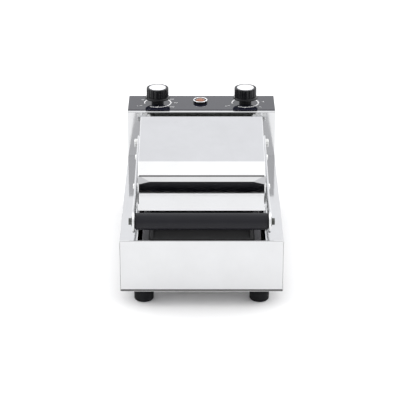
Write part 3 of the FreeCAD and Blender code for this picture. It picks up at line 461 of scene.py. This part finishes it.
def print_number(name, text, centre, radius, degrees, size):
    """Printed dial number, upright to the user."""
    curve = bpy.data.curves.new(name, "FONT")
    curve.body = text
    curve.size = size * MM
    curve.align_x = "CENTER"
    curve.align_y = "CENTER"
    curve.extrude = PRINT_THICKNESS / 2
    piece = add_piece(name, curve, "base", INK)
    piece.location = around(centre, radius, degrees) + Vector((0, 0, PRINT_THICKNESS / 2))


NUMBER_RADIUS = 31.0
NUMBER_SIZE = 4.6
TEMPERATURES = (
    ("50", 147.0), ("100", 111.0), ("150", 75.0), ("200", 39.0), ("250", 3.0), ("300", -36.0))
MINUTES = (("5", 108.0), ("10", 12.5), ("15", -36.0))
TICK_LENGTH = 1.3
TICK_WIDTH = 0.7
OFF_ANGLE = 203.0
OFF_RADIUS = 36.5
OFF_DASH_INNER = 28.4
OFF_DASH_OUTER = 33.0
INDEX_ANGLE = 270.0
INDEX_SPREAD = 8.0
INDEX_INNER = 19.8
TIMER_INDEX_ANGLE = 268.0
TIMER_INDEX_OUTER = 25.8
DASH_WIDTH = 0.9


def make_dials():
    """Printed scales round both knobs."""
    dials = (("temperature", "temperature_knob", TEMPERATURES), ("timer", "timer_knob", MINUTES))
    for label, knob, numbers in dials:
        centre = dial_centre(knob)
        shifted = centre + SCALE_SHIFT
        print_arc(label + "_scale", shifted, ARC_INNER, ARC_OUTER, ARC_FROM, ARC_TO)
        for text, degrees in numbers:
            print_number(label + "_number_" + text, text, centre, NUMBER_RADIUS, degrees, NUMBER_SIZE)
            tick_end = ARC_OUTER + TICK_LENGTH
            print_tick(label + "_tick_" + text, shifted, degrees, ARC_OUTER, tick_end, TICK_WIDTH)
        print_number(label + "_number_0", "0", centre, OFF_RADIUS, OFF_ANGLE, NUMBER_SIZE)
        print_tick(label + "_off_dash", centre, OFF_ANGLE, OFF_DASH_INNER, OFF_DASH_OUTER, DASH_WIDTH)
    temperature_scale = dial_centre("temperature_knob") + SCALE_SHIFT
    index_ends = (INDEX_ANGLE - INDEX_SPREAD, INDEX_ANGLE + INDEX_SPREAD)
    print_arc("temperature_index", temperature_scale, INDEX_INNER, ARC_INNER, *index_ends)
    timer_scale = dial_centre("timer_knob") + SCALE_SHIFT
    print_tick("timer_index", timer_scale, TIMER_INDEX_ANGLE, ARC_OUTER, TIMER_INDEX_OUTER, DASH_WIDTH)


POINTER_WIDTH = 1.6 * MM
SKIRT_STEP = 2.4 * MM
SKIRT_FOOT_BELOW_TOP = 18.1 * MM
# Millimetres beyond the knob's side, and above the foot of its skirt.
POINTER_OUTLINE = (
    (-1.2, 0.0), (2.2, 0.0), (2.2, 0.8), (1.1, 1.9), (0.6, 4.3), (0.5, 16.7), (-0.2, 17.3), (-1.2, 17.3))


def make_pointer(name, knob, body):
    """Raised rib that runs down a knob's side and over its skirt, and points at its zero."""
    low, high = corners(knob)
    centre = (low + high) / 2
    side = (high.x - low.x) / 2 - SKIRT_STEP
    skirt_foot = high.z - SKIRT_FOOT_BELOW_TOP
    outline = [(side + beyond * MM, skirt_foot + above * MM) for beyond, above in POINTER_OUTLINE]
    angle = math.radians(OFF_ANGLE)
    ahead = Vector((math.cos(angle), math.sin(angle), 0))
    across = Vector((-ahead.y, ahead.x, 0)) * POINTER_WIDTH / 2
    rings = []
    for shift in (-across, across):
        rings.append([Vector((centre.x, centre.y, z)) + ahead * radius + shift for radius, z in outline])
    add_piece(name, mesh_from(name, rings), body, MATERIALS["black_plastic"])


# ---------------------------------------------------------------- studio

FLOOR_REACH = 9.0
FLOOR_CORNERS = ((-1, -1), (1, -1), (1, 1), (-1, 1))
STUDIO_STRENGTH = 2.0
SIDE_LIGHT_FROM = 0.3
SIDE_LIGHT_GAIN = 2.3
SIDE_FADE_FROM = 0.86
SIDE_FADE_TO = 0.98
SIDE_WALL = 1.06


def make_floor():
    """Plain pale paper that the object stands on."""
    mesh = bpy.data.meshes.new("floor")
    points = [(x * FLOOR_REACH, y * FLOOR_REACH, 0) for x, y in FLOOR_CORNERS]
    mesh.from_pydata(points, [], [(0, 1, 2, 3)])
    floor = bpy.data.objects.new("floor", mesh)
    bpy.context.scene.collection.objects.link(floor)
    s = Shader("floor_paper", Roughness=0.9)
    s.color(s.mixed(s.noise(3.0, 2.0), (0.86, 0.86, 0.86), (0.88, 0.88, 0.88)))
    floor.data.materials.append(s.material)


# Degrees up from the back wall, over the top and down to the front, with the light from there.
STUDIO_BANDS = (
    (0.0, (1.14, 1.14, 1.156)),
    (27.0, (1.15, 1.156, 1.183)),
    (33.0, (1.145, 1.15, 1.183)),
    (50.0, (1.14, 1.145, 1.177)),
    (55.0, (1.58, 1.58, 1.58)),
    (72.0, (1.58, 1.58, 1.58)),
    (80.0, (1.25, 1.25, 1.255)),
    (116.0, (1.25, 1.25, 1.255)),
    (122.0, (1.28, 1.28, 1.28)),
    (131.0, (1.215, 1.215, 1.215)),
    (135.0, (0.90, 0.90, 0.915)),
    (170.0, (0.90, 0.90, 0.915)),
    (176.0, (0.97, 0.97, 0.97)),
    (180.0, (1.0, 1.0, 1.0)),
)


def make_studio():
    """Soft white studio: bands of light over the top, stronger towards the sides, and plain side walls."""
    world = bpy.data.worlds.new("studio")
    bpy.context.scene.world = world
    world.use_nodes = True
    tree = world.node_tree
    background = tree.nodes["Background"]

    def calculated(operation, source):
        made = tree.nodes.new("ShaderNodeMath")
        made.operation = operation
        tree.links.new(source, made.inputs[0])
        return made

    def eased(source, start, end, low, high):
        made = tree.nodes.new("ShaderNodeMapRange")
        made.interpolation_type = "SMOOTHSTEP"
        made.inputs["From Min"].default_value = start
        made.inputs["From Max"].default_value = end
        made.inputs["To Min"].default_value = low
        made.inputs["To Max"].default_value = high
        tree.links.new(source, made.inputs["Value"])
        return made.outputs["Result"]

    direction = tree.nodes.new("ShaderNodeTexCoord")
    parts = tree.nodes.new("ShaderNodeSeparateXYZ")
    tree.links.new(direction.outputs["Generated"], parts.inputs[0])
    angle = calculated("ARCTAN2", parts.outputs["Z"])
    tree.links.new(parts.outputs["Y"], angle.inputs[1])
    turn = calculated("DIVIDE", angle.outputs[0])
    turn.inputs[1].default_value = math.pi
    ramp = tree.nodes.new("ShaderNodeValToRGB")
    elements = ramp.color_ramp.elements
    while len(elements) > 1:
        elements.remove(elements[-1])
    for index, (degrees, tint) in enumerate(STUDIO_BANDS):
        place = degrees / 180.0
        element = elements[0] if index == 0 else elements.new(place)
        element.position = place
        element.color = [value / STUDIO_STRENGTH for value in tint] + [1.0]
    tree.links.new(turn.outputs[0], ramp.inputs[0])

    sideways = calculated("ABSOLUTE", parts.outputs["X"]).outputs[0]
    side_strength = STUDIO_STRENGTH * SIDE_LIGHT_GAIN
    strength = eased(sideways, SIDE_LIGHT_FROM, 1.0, STUDIO_STRENGTH, side_strength)
    wall = tree.nodes.new("ShaderNodeMix")
    wall.data_type = "RGBA"
    tree.links.new(eased(sideways, SIDE_FADE_FROM, SIDE_FADE_TO, 0.0, 1.0), wall.inputs["Factor"])
    tree.links.new(ramp.outputs["Color"], wall.inputs["A"])
    wall.inputs["B"].default_value = [SIDE_WALL / side_strength] * 3 + [1.0]
    tree.links.new(wall.outputs["Result"], background.inputs["Color"])
    tree.links.new(strength, background.inputs["Strength"])


CAMERA_PLACE = Vector((-2.5, -2560.0, 1201.4)) * MM
CAMERA_DOWN = 23.5
CAMERA_LENS = 153.0
CAMERA_SENSOR = 36.0
CAMERA_REACH = 50.0


def make_camera():
    """The viewer in front of the object, a little left of its middle and looking down on it."""
    data = bpy.data.cameras.new("camera")
    data.lens = CAMERA_LENS
    data.sensor_width = CAMERA_SENSOR
    data.clip_end = CAMERA_REACH
    camera = bpy.data.objects.new("camera", data)
    camera.location = CAMERA_PLACE
    camera.rotation_euler = (math.radians(90 - CAMERA_DOWN), 0, 0)
    bpy.context.scene.collection.objects.link(camera)
    bpy.context.scene.camera = camera
    bpy.context.scene.view_settings.view_transform = "Standard"


paint_frame()
make_lid_rear_shade_plate()
make_brow_crease_shade()
make_front_edge_shade()
make_dials()
make_pointer("temperature_pointer", "temperature_knob", "temperature_knob")
make_pointer("timer_pointer", "timer_knob", "timer_knob")
make_floor()
make_studio()
make_camera()
